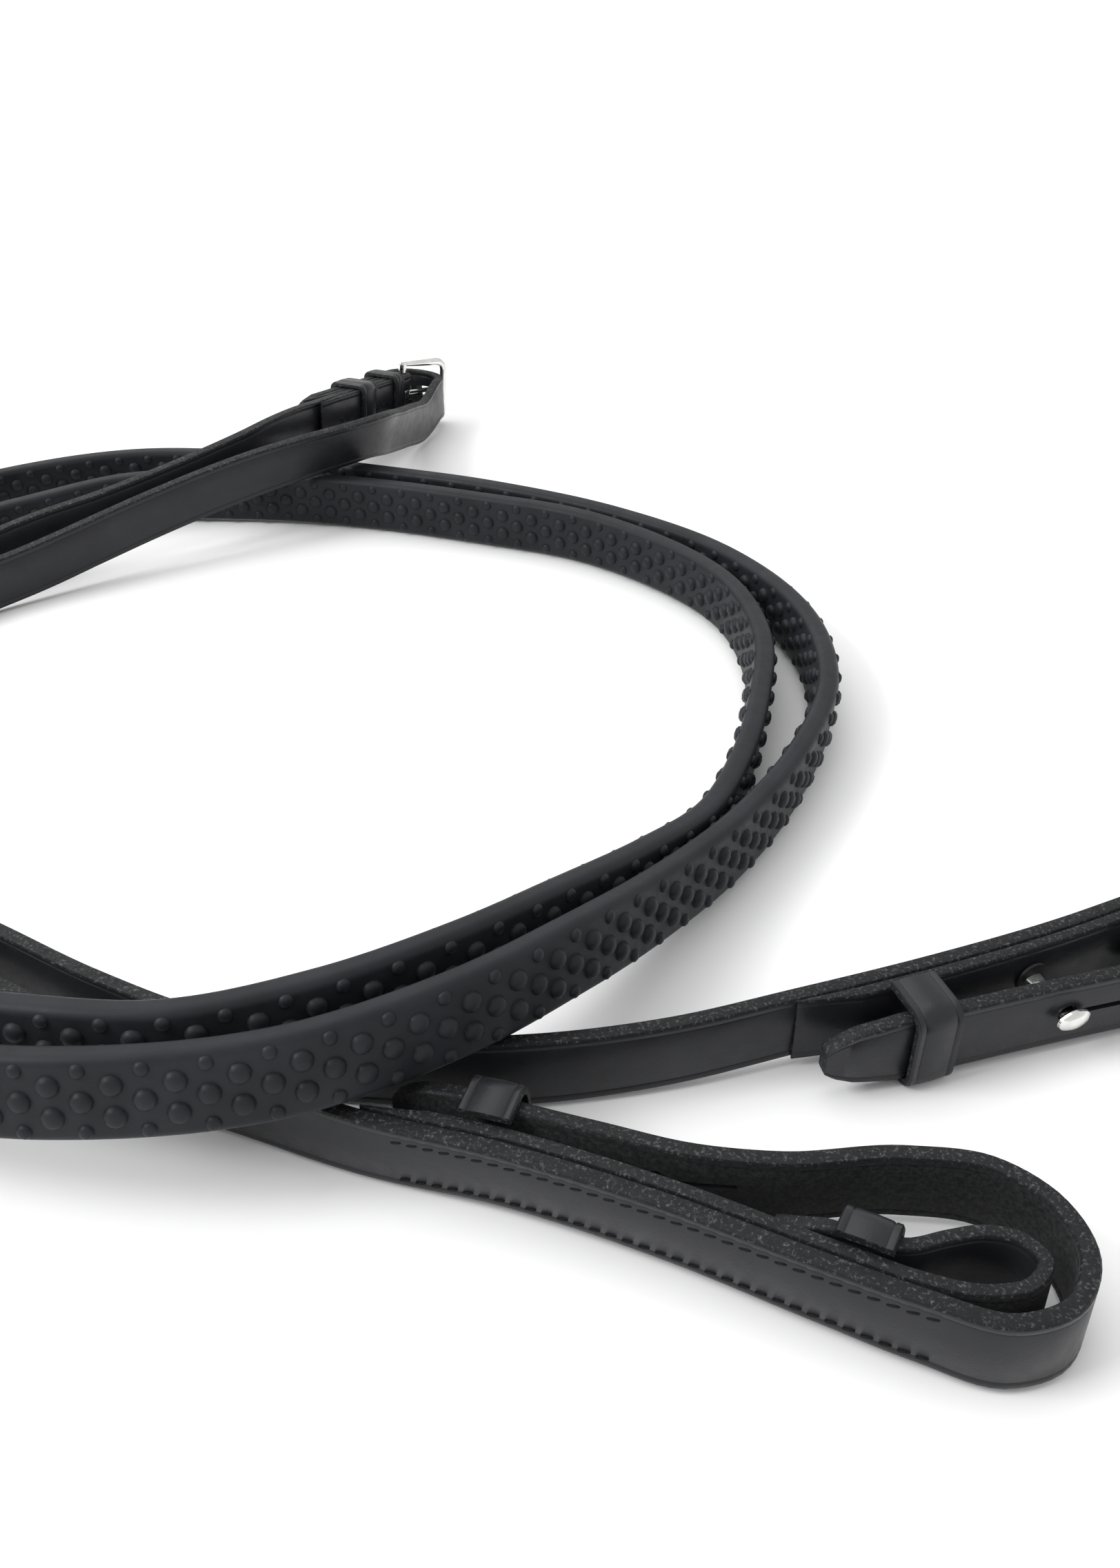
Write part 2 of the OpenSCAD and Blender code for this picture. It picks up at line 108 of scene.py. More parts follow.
# Routes of the two reins: x, y, height of the strap's middle, lean to the left in degrees.
A_ROUTE = [buckle_point(u, 0) for u in (0.006, 0.026, 0.048, 0.064, STRAIGHT)] + [
    (-0.0586, 0.1205, 0.0263, 4), (-0.066, 0.1075, 0.0262, 6), (-0.076, 0.097, 0.0245, 6),
    (-0.089, 0.088, 0.0215, 6), (-0.103, 0.081, 0.018, 6), (-0.121, 0.072, 0.0145, 5),
    (-0.141, 0.057, 0.0105, 3), (-0.16, 0.033, 0.0085, 1), (-0.17, 0, 0.0082, 0),
    (-0.174, -0.035, 0.0082, 0), (-0.171, -0.07, 0.009, 0), (-0.162, -0.103, 0.0105, 2),
    (-0.144, -0.131, 0.014, 5), (-0.119, -0.152, 0.0185, 8), (-0.091, -0.166, 0.0225, 10),
    (-0.048, -0.176, 0.025, 10), (-0.009, -0.171, 0.0252, 10), (0.018, -0.157, 0.0252, 9),
    (0.038, -0.137, 0.0218, 7), (0.056, -0.112, 0.015, 4), (0.075, -0.084, 0.0105, 0),
    (0.0915, -0.054, 0.0093, -5), (0.103, -0.021, 0.0093, -6), (0.1025, 0.017, 0.0093, -3),
    (0.084, 0.057, 0.0093, 0), (0.053, 0.086, 0.0093, 2), (0.015, 0.107, 0.0093, 3),
    (-0.026, 0.123, 0.0087, 3), (-0.068, 0.136, 0.0085, 3), (-0.108, 0.137, 0.0088, 3),
    (-0.147, 0.118, 0.0093, 3), (-0.171, 0.093, 0.0098, 3), (-0.187, 0.061, 0.012, 3),
    (-0.193, 0.029, 0.016, 2), (-0.191, -0.001, 0.021, 0), (-0.184, -0.027, 0.0246, 0),
    (-0.171, -0.051, 0.0258, 0), (-0.154, -0.073, 0.0256, 0), (-0.134, -0.093, 0.022, 0),
    (-0.112, -0.111, 0.0145, 0), (-0.091, -0.125, 0.0097, 0), (-0.07, -0.137, 0.0082, 0),
    (-0.048, -0.15, 0.0082, 0), (-0.023, -0.16, 0.0082, -2), (0.002, -0.171, 0.0084, -6),
    (0.026, -0.1792, 0.0096, -9), (0.053, -0.1904, 0.0096, -8), (0.0765, -0.2024, 0.0096, -6),
    (0.0905, -0.209, 0.0093, -4), (0.103, -0.213, 0.0086, -2), (0.112, -0.21, 0.0084, -1),
    (0.117, -0.2015, 0.0084, 0), (0.115, -0.1905, 0.0086, 1), (0.107, -0.183, 0.0092, 3),
    (0.093, -0.1807, 0.0097, 4), (0.072, -0.1823, 0.01, 4), (0.057, -0.181, 0.0103, 1),
    (0.043, -0.1773, 0.0107, -3), (0.0298, -0.1731, 0.0108, -5), (0.018, -0.1684, 0.0108, -5),
    (0.0075, -0.164, 0.0108, -5),
]
B_ROUTE = [buckle_point(u, FAR_N) for u in (POINT_U, 0.04, 0.018, 0.007, FOLD_U)] + [
    buckle_point(
        FOLD_U - FOLD_R * math.sin(math.radians(turn)),
        FOLD_N - FOLD_R * math.cos(math.radians(turn)),
        FOLD_DROP * turn / 180,
    )
    for turn in range(30, 181, 30)
] + [
    (-0.014, 0.1864, 0.0104, 5), (-0.018, 0.1675, 0.0146, 10), (-0.0216, 0.1484, 0.0195, 14),
    (-0.0253, 0.1302, 0.0246, 16), (-0.034, 0.1185, 0.0256, 15), (-0.0455, 0.107, 0.0259, 12),
    (-0.058, 0.097, 0.025, 8), (-0.074, 0.087, 0.022, 6), (-0.089, 0.0775, 0.0185, 6),
    (-0.104, 0.068, 0.0145, 5), (-0.118, 0.058, 0.011, 3), (-0.133, 0.0455, 0.0087, 2),
    (-0.146, 0.03, 0.0083, 0), (-0.156, 0.001, 0.0083, 0), (-0.16, -0.033, 0.0083, 0),
    (-0.157, -0.067, 0.0086, 0), (-0.148, -0.097, 0.011, 2), (-0.13, -0.123, 0.015, 5),
    (-0.106, -0.143, 0.0195, 7), (-0.08, -0.1565, 0.0235, 7), (-0.054, -0.163, 0.025, 6),
    (-0.031, -0.1645, 0.0252, 6), (-0.005, -0.156, 0.0252, 5), (0.018, -0.142, 0.0246, 4),
    (0.036, -0.1225, 0.02, 2), (0.053, -0.1025, 0.015, 0), (0.068, -0.081, 0.0105, -3),
    (0.0775, -0.057, 0.0093, -6), (0.085, -0.027, 0.0093, -7), (0.089, 0.004, 0.0093, -6),
    (0.0835, 0.036, 0.0093, -3), (0.0595, 0.07, 0.0093, 0), (0.042, 0.084, 0.0093, 2),
    (0.009, 0.098, 0.0093, 3), (-0.028, 0.11, 0.0093, 3), (-0.068, 0.116, 0.0093, 3),
    (-0.105, 0.114, 0.0093, 3), (-0.132, 0.095, 0.0093, 3), (-0.156, 0.071, 0.0103, 3),
    (-0.172, 0.041, 0.0135, 2), (-0.178, 0.011, 0.019, 1), (-0.175, -0.017, 0.0242, 0),
    (-0.166, -0.041, 0.0254, 0), (-0.151, -0.063, 0.0242, 0), (-0.132, -0.083, 0.02, 0),
    (-0.11, -0.101, 0.014, 0), (-0.091, -0.112, 0.0097, 0), (-0.073, -0.122, 0.0082, 0),
    (-0.052, -0.135, 0.0082, 0), (-0.027, -0.147, 0.0082, 0), (0, -0.1525, 0.0082, 0),
    (0.031, -0.153, 0.0084, 0), (0.056, -0.149, 0.009, -2), (0.08, -0.142, 0.01, -3),
    (0.105, -0.1333, 0.0102, -3), (0.133, -0.122, 0.0102, -2), (0.154, -0.1115, 0.0098, -1),
    (0.169, -0.104, 0.0094, 0), (0.181, -0.099, 0.0088, 0), (0.19, -0.1015, 0.0086, 0),
    (0.1935, -0.11, 0.0086, 0), (0.188, -0.119, 0.0088, 1), (0.175, -0.1245, 0.009, 2),
    (0.156, -0.1305, 0.0092, 3), (0.1375, -0.136, 0.0093, 3), (0.1235, -0.1402, 0.0093, 3),
    (0.1093, -0.1447, 0.0093, 3), (0.097, -0.1484, 0.0093, 3), (0.084, -0.1514, 0.0093, 3),
]
BULB = {
    "a": [
    (0.101, -0.2076, 0.0088, -2), (0.107, -0.2062, 0.0086, -1), (0.11, -0.202, 0.0086, 0),
    (0.1075, -0.1979, 0.0087, 1), (0.102, -0.1964, 0.009, 3), (0.096, -0.1976, 0.0094, 4),
    (0.089, -0.1996, 0.01, 5), (0.081, -0.1972, 0.0102, 6), (0.07, -0.1922, 0.0102, 6),
    ],
    "b": [
    (0.18, -0.1038, 0.0088, 0), (0.1854, -0.105, 0.0086, 0), (0.1876, -0.1082, 0.0086, 0),
    (0.186, -0.1112, 0.0086, 0), (0.1814, -0.1118, 0.0088, 0), (0.1755, -0.1106, 0.009, 0),
    (0.1683, -0.1123, 0.0092, -1), (0.16, -0.1161, 0.0095, -1), (0.1494, -0.1212, 0.0098, -1),
    ],
}


# --- Curves ---
def flow(points, step):
    """A smooth curve through the points, with spans no longer than step."""
    p = np.array(points, float)
    h = np.linalg.norm(np.diff(p[:, :3], axis=0), axis=1)
    v = np.diff(p, axis=0) / h[:, None]
    before, after = h[:-1, None], h[1:, None]
    g = np.vstack((v[:1], (v[:-1] * after + v[1:] * before) / (after + before), v[-1:]))
    out = []
    for i, length in enumerate(h):
        count = max(2, math.ceil(length / step))
        for t in np.arange(count) / count:
            q, c = t * t, t * t * t
            out.append(
                (2 * c - 3 * q + 1) * p[i] + (c - 2 * q + t) * length * g[i]
                + (3 * q - 2 * c) * p[i + 1] + (c - q) * length * g[i + 1]
            )
    out.append(p[-1])
    return np.array(out)


def unit(v):
    return v / np.linalg.norm(v, axis=-1, keepdims=True)


class Path:
    """A route with distances along it."""

    def __init__(self, points, step=0.0015):
        self.c = flow(points, step)
        gaps = np.linalg.norm(np.diff(self.c[:, :3], axis=0), axis=1)
        self.s = np.concatenate(([0], np.cumsum(gaps)))
        self.length = self.s[-1]

    def at(self, s):
        """Place and lean at distance s."""
        return np.stack([np.interp(s, self.s, self.c[:, k]) for k in range(4)], axis=-1)

    def frame(self, s):
        """Places, directions, sides and uprights at distances s."""
        s = np.atleast_1d(np.asarray(s, float))
        here = self.at(s)
        ahead, behind = np.minimum(s + 0.001, self.length), np.maximum(s - 0.001, 0)
        d = unit((self.at(ahead) - self.at(behind))[:, :3])
        level = unit(np.stack((-d[:, 1], d[:, 0], np.zeros(len(s))), axis=1))
        over = np.cross(d, level)
        c, k = np.cos(np.radians(here[:, 3:])), np.sin(np.radians(here[:, 3:]))
        return here[:, :3], d, c * level - k * over, c * over + k * level

    def nearest(self, xy, low, high):
        """The distance, between low and high, at which the path is nearest to xy."""
        s = np.arange(low, high, 0.001)
        return s[np.argmin(np.linalg.norm(self.at(s)[:, :2] - np.array(xy), axis=1))]


def spread(low, high, step):
    """Evenly spaced distances, no further apart than step."""
    return np.linspace(low, high, max(2, math.ceil((high - low) / step) + 1))


REIN = {"a": Path(A_ROUTE), "b": Path(B_ROUTE)}
KEEPER = {r: REIN[r].nearest(KEEPER_NEAR[r], REIN[r].length - 0.3, REIN[r].length - 0.16) for r in "ab"}
GRIP_SPAN = {r: (GRIP_FROM[r], GRIP_FROM[r] + GRIP_RUN) for r in "ab"}


# --- Materials ---
class Graph:
    """A short way to write node materials."""

    def __init__(self, name, **values):
        self.mat = bpy.data.materials.new(name)
        self.mat.use_nodes = True
        self.nodes = self.mat.node_tree.nodes
        self.links = self.mat.node_tree.links
        self.bsdf = self.nodes["Principled BSDF"]
        self.coords = self.add("ShaderNodeTexCoord").outputs["Object"]
        for key, value in values.items():
            self.bsdf.inputs[key.replace("_", " ").title().replace("Ior", "IOR")].default_value = value

    def add(self, kind, **settings):
        node = self.nodes.new(kind)
        for key, value in settings.items():
            setattr(node, key, value)
        return node

    def noise(self, size, detail=3.0, rough=0.55):
        node = self.add("ShaderNodeTexNoise")
        node.inputs["Scale"].default_value = 1 / size
        node.inputs["Detail"].default_value = detail
        node.inputs["Roughness"].default_value = rough
        self.links.new(self.coords, node.inputs["Vector"])
        return node.outputs["Fac"]

    def cells(self, size):
        node = self.add("ShaderNodeTexVoronoi")
        node.inputs["Scale"].default_value = 1 / size
        self.links.new(self.coords, node.inputs["Vector"])
        return node.outputs["Distance"]

    def ramp(self, value, stops):
        """Two stops of a place and a colour, or a place and one grey value."""
        node = self.add("ShaderNodeValToRGB")
        for element, (place, colour) in zip(list(node.color_ramp.elements), stops):
            element.position = place
            element.color = (*(colour if len(colour) == 3 else colour * 3), 1)
        self.links.new(value, node.inputs["Fac"])
        return node.outputs["Color"]

    def bump(self, value, depth, strength=1.0, below=None):
        node = self.add("ShaderNodeBump")
        node.inputs["Strength"].default_value = strength
        node.inputs["Distance"].default_value = depth
        self.links.new(value, node.inputs["Height"])
        if below is not None:
            self.links.new(below, node.inputs["Normal"])
        return node.outputs["Normal"]

    def finish(self, colour=None, rough=None, normal=None):
        for value, socket in ((colour, "Base Color"), (rough, "Roughness"), (normal, "Normal")):
            if value is not None:
                self.links.new(value, self.bsdf.inputs[socket])
        return self.mat


def grain_leather():
    """Smooth black bridle leather: a waxed sheen over a very fine grain."""
    g = Graph("black_leather", specular_ior_level=0.32)
    dark, light = (0.0094, 0.0098, 0.0118), (0.0162, 0.0168, 0.0202)
    colour = g.ramp(g.noise(0.018, 4), ((0.3, dark), (0.7, light)))
    rough = g.ramp(g.noise(0.004, 3), ((0.3, (0.3,)), (0.7, (0.42,))))
    fine = g.bump(g.cells(0.0006), 0.00004, 0.35)
    return g.finish(colour, rough, g.bump(g.noise(0.0022, 4), 0.00009, 0.4, fine))


def raw_edge():
    """Cut edge of the leather: dark with pale fibres."""
    g = Graph("leather_edge", specular_ior_level=0.22)
    dark, fibre = (0.008, 0.0085, 0.0093), (0.12, 0.124, 0.13)
    colour = g.ramp(g.noise(0.0007, 4, 0.7), ((0.54, dark), (0.78, fibre)))
    rough = g.ramp(g.noise(0.002), ((0.3, (0.5,)), (0.7, (0.72,))))
    return g.finish(colour, rough, g.bump(g.noise(0.0005, 4), 0.0001, 0.8))


def suede():
    """Flesh side of the leather: a dull dark nap."""
    g = Graph("leather_nap", specular_ior_level=0.1, sheen_weight=0.06, sheen_roughness=0.5)
    dark, light = (0.009, 0.0095, 0.0101), (0.036, 0.037, 0.038)
    colour = g.ramp(g.noise(0.0009, 5, 0.7), ((0.4, dark), (0.78, light)))
    rough = g.ramp(g.noise(0.003), ((0.3, (0.82,)), (0.7, (0.95,))))
    return g.finish(colour, rough, g.bump(g.noise(0.0004, 5), 0.00012, 0.9))


def black_rubber():
    """Matte rubber with a slight bloom and a moulded skin."""
    g = Graph("pimpled_rubber", specular_ior_level=0.17)
    dark, light = (0.0112, 0.0126, 0.015), (0.0175, 0.0198, 0.0235)
    colour = g.ramp(g.noise(0.012, 4), ((0.3, dark), (0.7, light)))
    rough = g.ramp(g.noise(0.003, 3), ((0.3, (0.42,)), (0.7, (0.55,))))
    return g.finish(colour, rough, g.bump(g.noise(0.0006, 3), 0.00004, 0.5))


def nickel():
    """Polished plate with faint handling marks."""
    g = Graph("nickel_plate", metallic=1.0)
    colour = g.ramp(g.noise(0.003, 3), ((0.3, (0.66, 0.66, 0.64)), (0.7, (0.8, 0.8, 0.78))))
    rough = g.ramp(g.noise(0.0012, 4), ((0.3, (0.1,)), (0.7, (0.24,))))
    return g.finish(colour, rough, g.bump(g.noise(0.0008), 0.00002, 0.3))


def blackened_steel():
    """Dark plate under the studs."""
    g = Graph("blackened_steel", metallic=0.7)
    colour = g.ramp(g.noise(0.002, 3), ((0.3, (0.02, 0.02, 0.021)), (0.7, (0.035, 0.035, 0.037))))
    rough = g.ramp(g.noise(0.001, 3), ((0.3, (0.35,)), (0.7, (0.5,))))
    return g.finish(colour, rough)


def waxed_thread():
    """Near-black thread."""
    g = Graph("waxed_thread", specular_ior_level=0.15)
    colour = g.ramp(g.noise(0.0006, 3), ((0.3, (0.002, 0.002, 0.0023)), (0.7, (0.006, 0.006, 0.007))))
    rough = g.ramp(g.noise(0.0006), ((0.3, (0.5,)), (0.7, (0.7,))))
    return g.finish(colour, rough, g.bump(g.cells(0.00035), 0.00006, 0.8))


LEATHER = grain_leather()
EDGE = raw_edge()
NAP = suede()
RUBBER = black_rubber()
NICKEL = nickel()
BLACKENED = blackened_steel()
THREAD = waxed_thread()


# --- Meshes ---
GRAIN_FACE = 0
CUT_FACE = 1
NAP_FACE = 2


def piece(name, verts, faces, materials, kinds=None, sharp=32, body="straps", *, node):
    """A mesh object with outward normals that rides on a body and stands for a CAD node."""
    mesh = bpy.data.meshes.new(name)
    mesh.from_pydata([tuple(v) for v in verts], [], [tuple(int(i) for i in f) for f in faces])
    for material in materials:
        mesh.materials.append(material)
    if kinds is not None:
        mesh.polygons.foreach_set("material_index", list(kinds))
    outward(mesh)
    mesh.shade_smooth()
    mesh.set_sharp_from_angle(angle=math.radians(sharp))
    obj = bpy.data.objects.new(name, mesh)
    bpy.context.scene.collection.objects.link(obj)
    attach(obj, body)
    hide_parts(node)
    return obj


def outward(mesh):
    """Turns the normals of a closed mesh outwards."""
    bm = bmesh.new()
    bm.from_mesh(mesh)
    bmesh.ops.recalc_face_normals(bm, faces=bm.faces)
    bm.to_mesh(mesh)
    bm.free()
    return mesh


def tube_faces(rings, m, closed=False):
    """Faces between rings of m points; a closed tube joins its last ring to its first."""
    faces = []
    for i in range(rings if closed else rings - 1):
        k = (i + 1) % rings
        faces += [(i * m + j, i * m + (j + 1) % m, k * m + (j + 1) % m, k * m + j) for j in range(m)]
    return faces


def swept(path, s, section, widths=None, skive=None, sound=0.0):
    """Vertices and faces of a section carried along a path.

    widths narrows it over its distances, and skive thins it towards the face at n = sound.
    """
    place, _, side, up = path.frame(s)
    k = np.ones(len(s)) if widths is None else np.interp(s, *zip(*widths))
    thin = np.ones(len(s)) if skive is None else np.interp(s, *zip(*skive))
    sec = np.array([q[:2] for q in section])
    n = sound + (sec[None, :, 0] - sound) * thin[:, None]
    verts = (
        place[:, None] + n[:, :, None] * side[:, None]
        + (sec[None, :, 1] * k[:, None])[:, :, None] * up[:, None]
    ).reshape(-1, 3)
    m = len(section)
    faces = tube_faces(len(s), m)
    kinds = [section[j][2] for _ in range(len(s) - 1) for j in range(m)]
    faces += [tuple(range(m)), tuple(range((len(s) - 1) * m, len(s) * m))]
    return verts, faces, kinds + [CUT_FACE, CUT_FACE]


def leather_section(t, w, nap):
    """A strap's section, with bevelled edges and a creased line along each.

    nap is 1 or -1 for the face that is the nap side, or 0 where both are grain.
    """
    x, y = t / 2, w / 2
    crease = 0.0017
    groove = 0.00016
    half = 0.00028
    face = [
        (x, -y + 0.0005), (x, -y + crease - half), (x - groove, -y + crease), (x, -y + crease + half),
        (x, 0), (x, y - crease - half), (x - groove, y - crease), (x, y - crease + half), (x, y - 0.0005),
    ]
    edge = [(x - 0.0003, y - 0.0001), (x - 0.0008, y), (-x + 0.0008, y), (-x + 0.0003, y - 0.0001)]
    out = []
    for turn in (1, -1):
        kind = NAP_FACE if nap == turn else GRAIN_FACE
        out += [(turn * a, turn * b, kind) for a, b in face[:-1]]
        out += [(turn * a, turn * b, CUT_FACE) for a, b in face[-1:] + edge]
    return out


def strap(name, path, s, t=STRAP_T, w=STRAP_W, nap=0, node=None, slot="strap_leather",
          grain_to=0.0, **shape):
    """A leather strap; its nap side is grain up to the distance grain_to."""
    section = leather_section(t, w, nap)
    verts, faces, kinds = swept(path, s, section, **shape)
    covered = int(np.searchsorted(s, grain_to)) * len(section)
    kinds[:covered] = [GRAIN_FACE if kind == NAP_FACE else kind for kind in kinds[:covered]]
    return piece(name, verts, faces, [LEATHER, EDGE, NAP], kinds, 40, node=node)


def cut(obj, cutters):
    """Cuts closed meshes out of obj and keeps its materials."""
    for cutter in cutters:
        tool = bpy.data.objects.new("cutter", cutter)
        bpy.context.scene.collection.objects.link(tool)
        mod = obj.modifiers.new("cut", "BOOLEAN")
        mod.operation = "DIFFERENCE"
        mod.solver = "EXACT"
        mod.object = tool
        made = bpy.data.meshes.new_from_object(obj.evaluated_get(bpy.context.evaluated_depsgraph_get()))
        obj.modifiers.clear()
        obj.data = made
        bpy.data.objects.remove(tool)


def block(place, axes, low, high):
    """A closed box mesh between two corners, in local axes."""
    corners = [
        place + x * axes[0] + y * axes[1] + z * axes[2]
        for x in (low[0], high[0]) for y in (low[1], high[1]) for z in (low[2], high[2])
    ]
    mesh = bpy.data.meshes.new("cut_box")
    faces = [(0, 1, 3, 2), (4, 6, 7, 5), (0, 4, 5, 1), (2, 3, 7, 6), (0, 2, 6, 4), (1, 5, 7, 3)]
    mesh.from_pydata([tuple(c) for c in corners], [], faces)
    return outward(mesh)


def drum(place, axes, r, low, high, count=24):
    """A closed cylinder mesh about the second axis."""
    verts = []
    for y in (low, high):
        for k in range(count):
            turn = 2 * math.pi * k / count
            across = r * math.cos(turn) * axes[0] + r * math.sin(turn) * axes[2]
            verts.append(tuple(place + across + y * axes[1]))
    faces = [tuple(range(count)), tuple(range(count, 2 * count))]
    faces += [(k, (k + 1) % count, count + (k + 1) % count, count + k) for k in range(count)]
    mesh = bpy.data.meshes.new("cut_drum")
    mesh.from_pydata(verts, [], faces)
    return outward(mesh)


# --- Rubber sleeves ---
PIMPLE_PITCH = 0.01
PIMPLE_ROWS = ((-0.0058, 0.0014, 0.0009), (-0.003, 0.0021, 0.0014), (0, 0.0021, 0.0014),
               (0.003, 0.0021, 0.0014), (0.0058, 0.0014, 0.0009))  # place over the width, radius, height
DOME_SIDES = 12
DOME_RINGS = 3


def sleeve_section():
    """A rounded rectangle."""
    r = 0.0019
    x, y = GRIP_T / 2 - r, GRIP_W / 2 - r
    out = []
    for cx, cy, first in ((x, y, 0), (-x, y, 90), (-x, -y, 180), (x, -y, 270)):
        for turn in np.radians(np.arange(first, first + 91, 18)):
            out.append((cx + r * math.cos(turn), cy + r * math.sin(turn), GRAIN_FACE))
    return out


def dome(place, out, along, across, r, h):
    """A low round pimple with its skirt in the surface."""
    verts = []
    for k in range(DOME_RINGS):
        rise = math.radians(90 * k / DOME_RINGS)
        for j in range(DOME_SIDES):
            turn = 2 * math.pi * j / DOME_SIDES
            flat = r * math.cos(rise) ** 0.8
            verts.append(
                place + out * (h * math.sin(rise) - 0.0001)
                + flat * (math.cos(turn) * along + math.sin(turn) * across)
            )
    verts.append(place + out * (h - 0.0001))
    faces = [
        (k * DOME_SIDES + j, k * DOME_SIDES + (j + 1) % DOME_SIDES,
         (k + 1) * DOME_SIDES + (j + 1) % DOME_SIDES, (k + 1) * DOME_SIDES + j)
        for k in range(DOME_RINGS - 1) for j in range(DOME_SIDES)
    ]
    last = (DOME_RINGS - 1) * DOME_SIDES
    faces += [(last + j, last + (j + 1) % DOME_SIDES, len(verts) - 1) for j in range(DOME_SIDES)]
    return verts, faces


def gather(parts):
    """One vertex list and face list from several."""
    verts, faces = [], []
    for v, f in parts:
        base = len(verts)
        verts += list(v)
        faces += [tuple(i + base for i in face) for face in f]
    return verts, faces


def grip(rein):
    """A rubber sleeve with its rows of pimples on both faces."""
    path, (low, high) = REIN[rein], GRIP_SPAN[rein]
    body = swept(path, spread(low, high, 0.0025), sleeve_section())[:2]
    parts = [body]
    for row, (w, r, h) in enumerate(PIMPLE_ROWS):
        start = low + 0.012 + (PIMPLE_PITCH / 2 if row % 2 else 0)
        s = np.arange(start, high - 0.009, PIMPLE_PITCH)
        place, d, side, up = path.frame(s)
        for face in (-1, 1):
            for i in range(len(s)):
                foot = place[i] + face * GRIP_T / 2 * side[i] + w * up[i]
                parts.append(dome(foot, face * side[i], d[i], up[i], r, h))
    verts, faces = gather(parts)
    return piece(f"grip_{rein}", verts, faces, [RUBBER], None, 50, node=f"rein_{rein}_grip")


# --- Stitches ---
STITCH_L = 0.0021
STITCH_PITCH = 0.0029
STITCH_LOW = 0.002    # from the strap's lower edge
STITCH_HIGH = 0.0028  # from its upper edge
THREAD_W = 0.00032    # half widths of the flattened thread
THREAD_H = 0.00022


def stitch(place, along, across, out, length=STITCH_L, slant=14):
    """One slanted stitch, lying in a shallow dent."""
    turn = math.radians(slant)
    a = math.cos(turn) * along + math.sin(turn) * across
    b = -math.sin(turn) * along + math.cos(turn) * across
    verts = []
    sides = 8
    for x, r in ((-0.5, 0.25), (-0.36, 0.85), (0, 1), (0.36, 0.85), (0.5, 0.25)):
        for t in 2 * math.pi * np.arange(sides) / sides:
            round_it = THREAD_W * math.cos(t) * b + THREAD_H * math.sin(t) * out
            verts.append(place + x * length * a + r * round_it)
    faces = tube_faces(5, sides) + [tuple(range(sides)), tuple(range(4 * sides, 5 * sides))]
    return verts, faces


def stitch_rows(path, low, high, rows, face):
    """Stitches along a path, in rows over the width, on its face 1 or -1."""
    s = np.arange(low, high, STITCH_PITCH)
    place, d, side, up = path.frame(s)
    n = face * (STRAP_T / 2 + 0.00005)
    return [
        stitch(place[i] + n * side[i] + w * up[i], d[i], up[i], face * side[i])
        for w in rows for i in range(len(s))
    ]


# --- Keepers ---
def hoop_section(h, t):
    """Across a keeper band: flat inside, bevelled and twice creased outside."""
    return [
        (-h, 0), (h, 0), (h, t - 0.00045), (h - 0.00035, t), (h - 0.0012, t), (h - 0.0015, t - 0.0002),
        (h - 0.0018, t), (0, t + 0.00012), (-h + 0.0018, t), (-h + 0.0015, t - 0.0002), (-h + 0.0012, t),
        (-h + 0.00035, t), (-h, t - 0.00045),
    ]


def corner(cx, cy, r, first, last, steps=6):
    """Points and outward directions round one corner of a band."""
    return [
        ((cx + r * math.cos(a), cy + r * math.sin(a)), (math.cos(a), math.sin(a)))
        for a in np.radians(np.linspace(first, last, steps))
    ]


def hoop(name, axes, outline, run, t, closed, node, body="straps"):
    """A leather band round an outline of (n, w) points, in axes place, along, side and up."""
    place, along, side, up = axes
    section = hoop_section(run / 2, t)
    verts = [
        place + x * along + (p[0] + o * q[0]) * side + (p[1] + o * q[1]) * up
        for p, q in outline for x, o in section
    ]
    m = len(section)
    faces = tube_faces(len(outline), m, closed)
    cut_sides = (1, m - 1)
    kinds = [CUT_FACE if k % m in cut_sides else GRAIN_FACE for k in range(len(faces))]
    if not closed:
        faces += [tuple(range(m)), tuple(range((len(outline) - 1) * m, len(outline) * m))]
        kinds += [CUT_FACE, CUT_FACE]
    return piece(name, verts, faces, [LEATHER, EDGE], kinds, 40, body=body, node=node)


def bit_keeper(name, rein, s, reach, node):
    """A keeper sewn to the lining at both ends, standing out as far as reach."""
    place, d, side, up = (v[0] for v in REIN[rein].frame(s))
    foot = LINING_N + LINING_T / 2 + 0.0001
    half = (STRAP_W + 0.0008) / 2
    r = 0.0022
    outline = (
        [((foot, -half), (0, -1))] + corner(reach - r, -half + r, r, -90, 0)
        + corner(reach - r, half - r, r, 0, 90) + [((foot, half), (0, 1))]
    )
    return hoop(name, (place, d, side * SIDE[rein], up), outline, KEEPER_RUN, KEEPER_T, False, node)


def buckle_band(name, u, run, body, node):
    """A closed keeper round the chape and rein B's point."""
    low, high = FAR_N - STRAP_T / 2 - 0.0003, STRAP_T / 2 + WRAP_T + 0.0003
    half = (STRAP_W + 0.0006) / 2
    r = 0.0012
    outline = (
        corner(low + r, -half + r, r, 180, 270) + corner(high - r, -half + r, r, 270, 360)
        + corner(high - r, half - r, r, 0, 90) + corner(low + r, half - r, r, 90, 180)
    )
    return hoop(name, (BUCKLE_AT + u * U, U, N, W), outline, run, KEEPER_T, True, node, body)


# --- Bit ends ---
def lathe(profile, place, along, side, up, stretch, count=28):
    """A turned form about side; stretch is its size along the strap and over its width."""
    a, b = stretch[0] * along, stretch[1] * up
    verts = [
        place + h * side + r * (math.cos(t) * a + math.sin(t) * b)
        for r, h in profile for t in 2 * math.pi * np.arange(count) / count
    ]
    last = (len(profile) - 1) * count
    ends = [tuple(range(count)), tuple(range(last, last + count))]
    return verts, tube_faces(len(profile), count) + ends


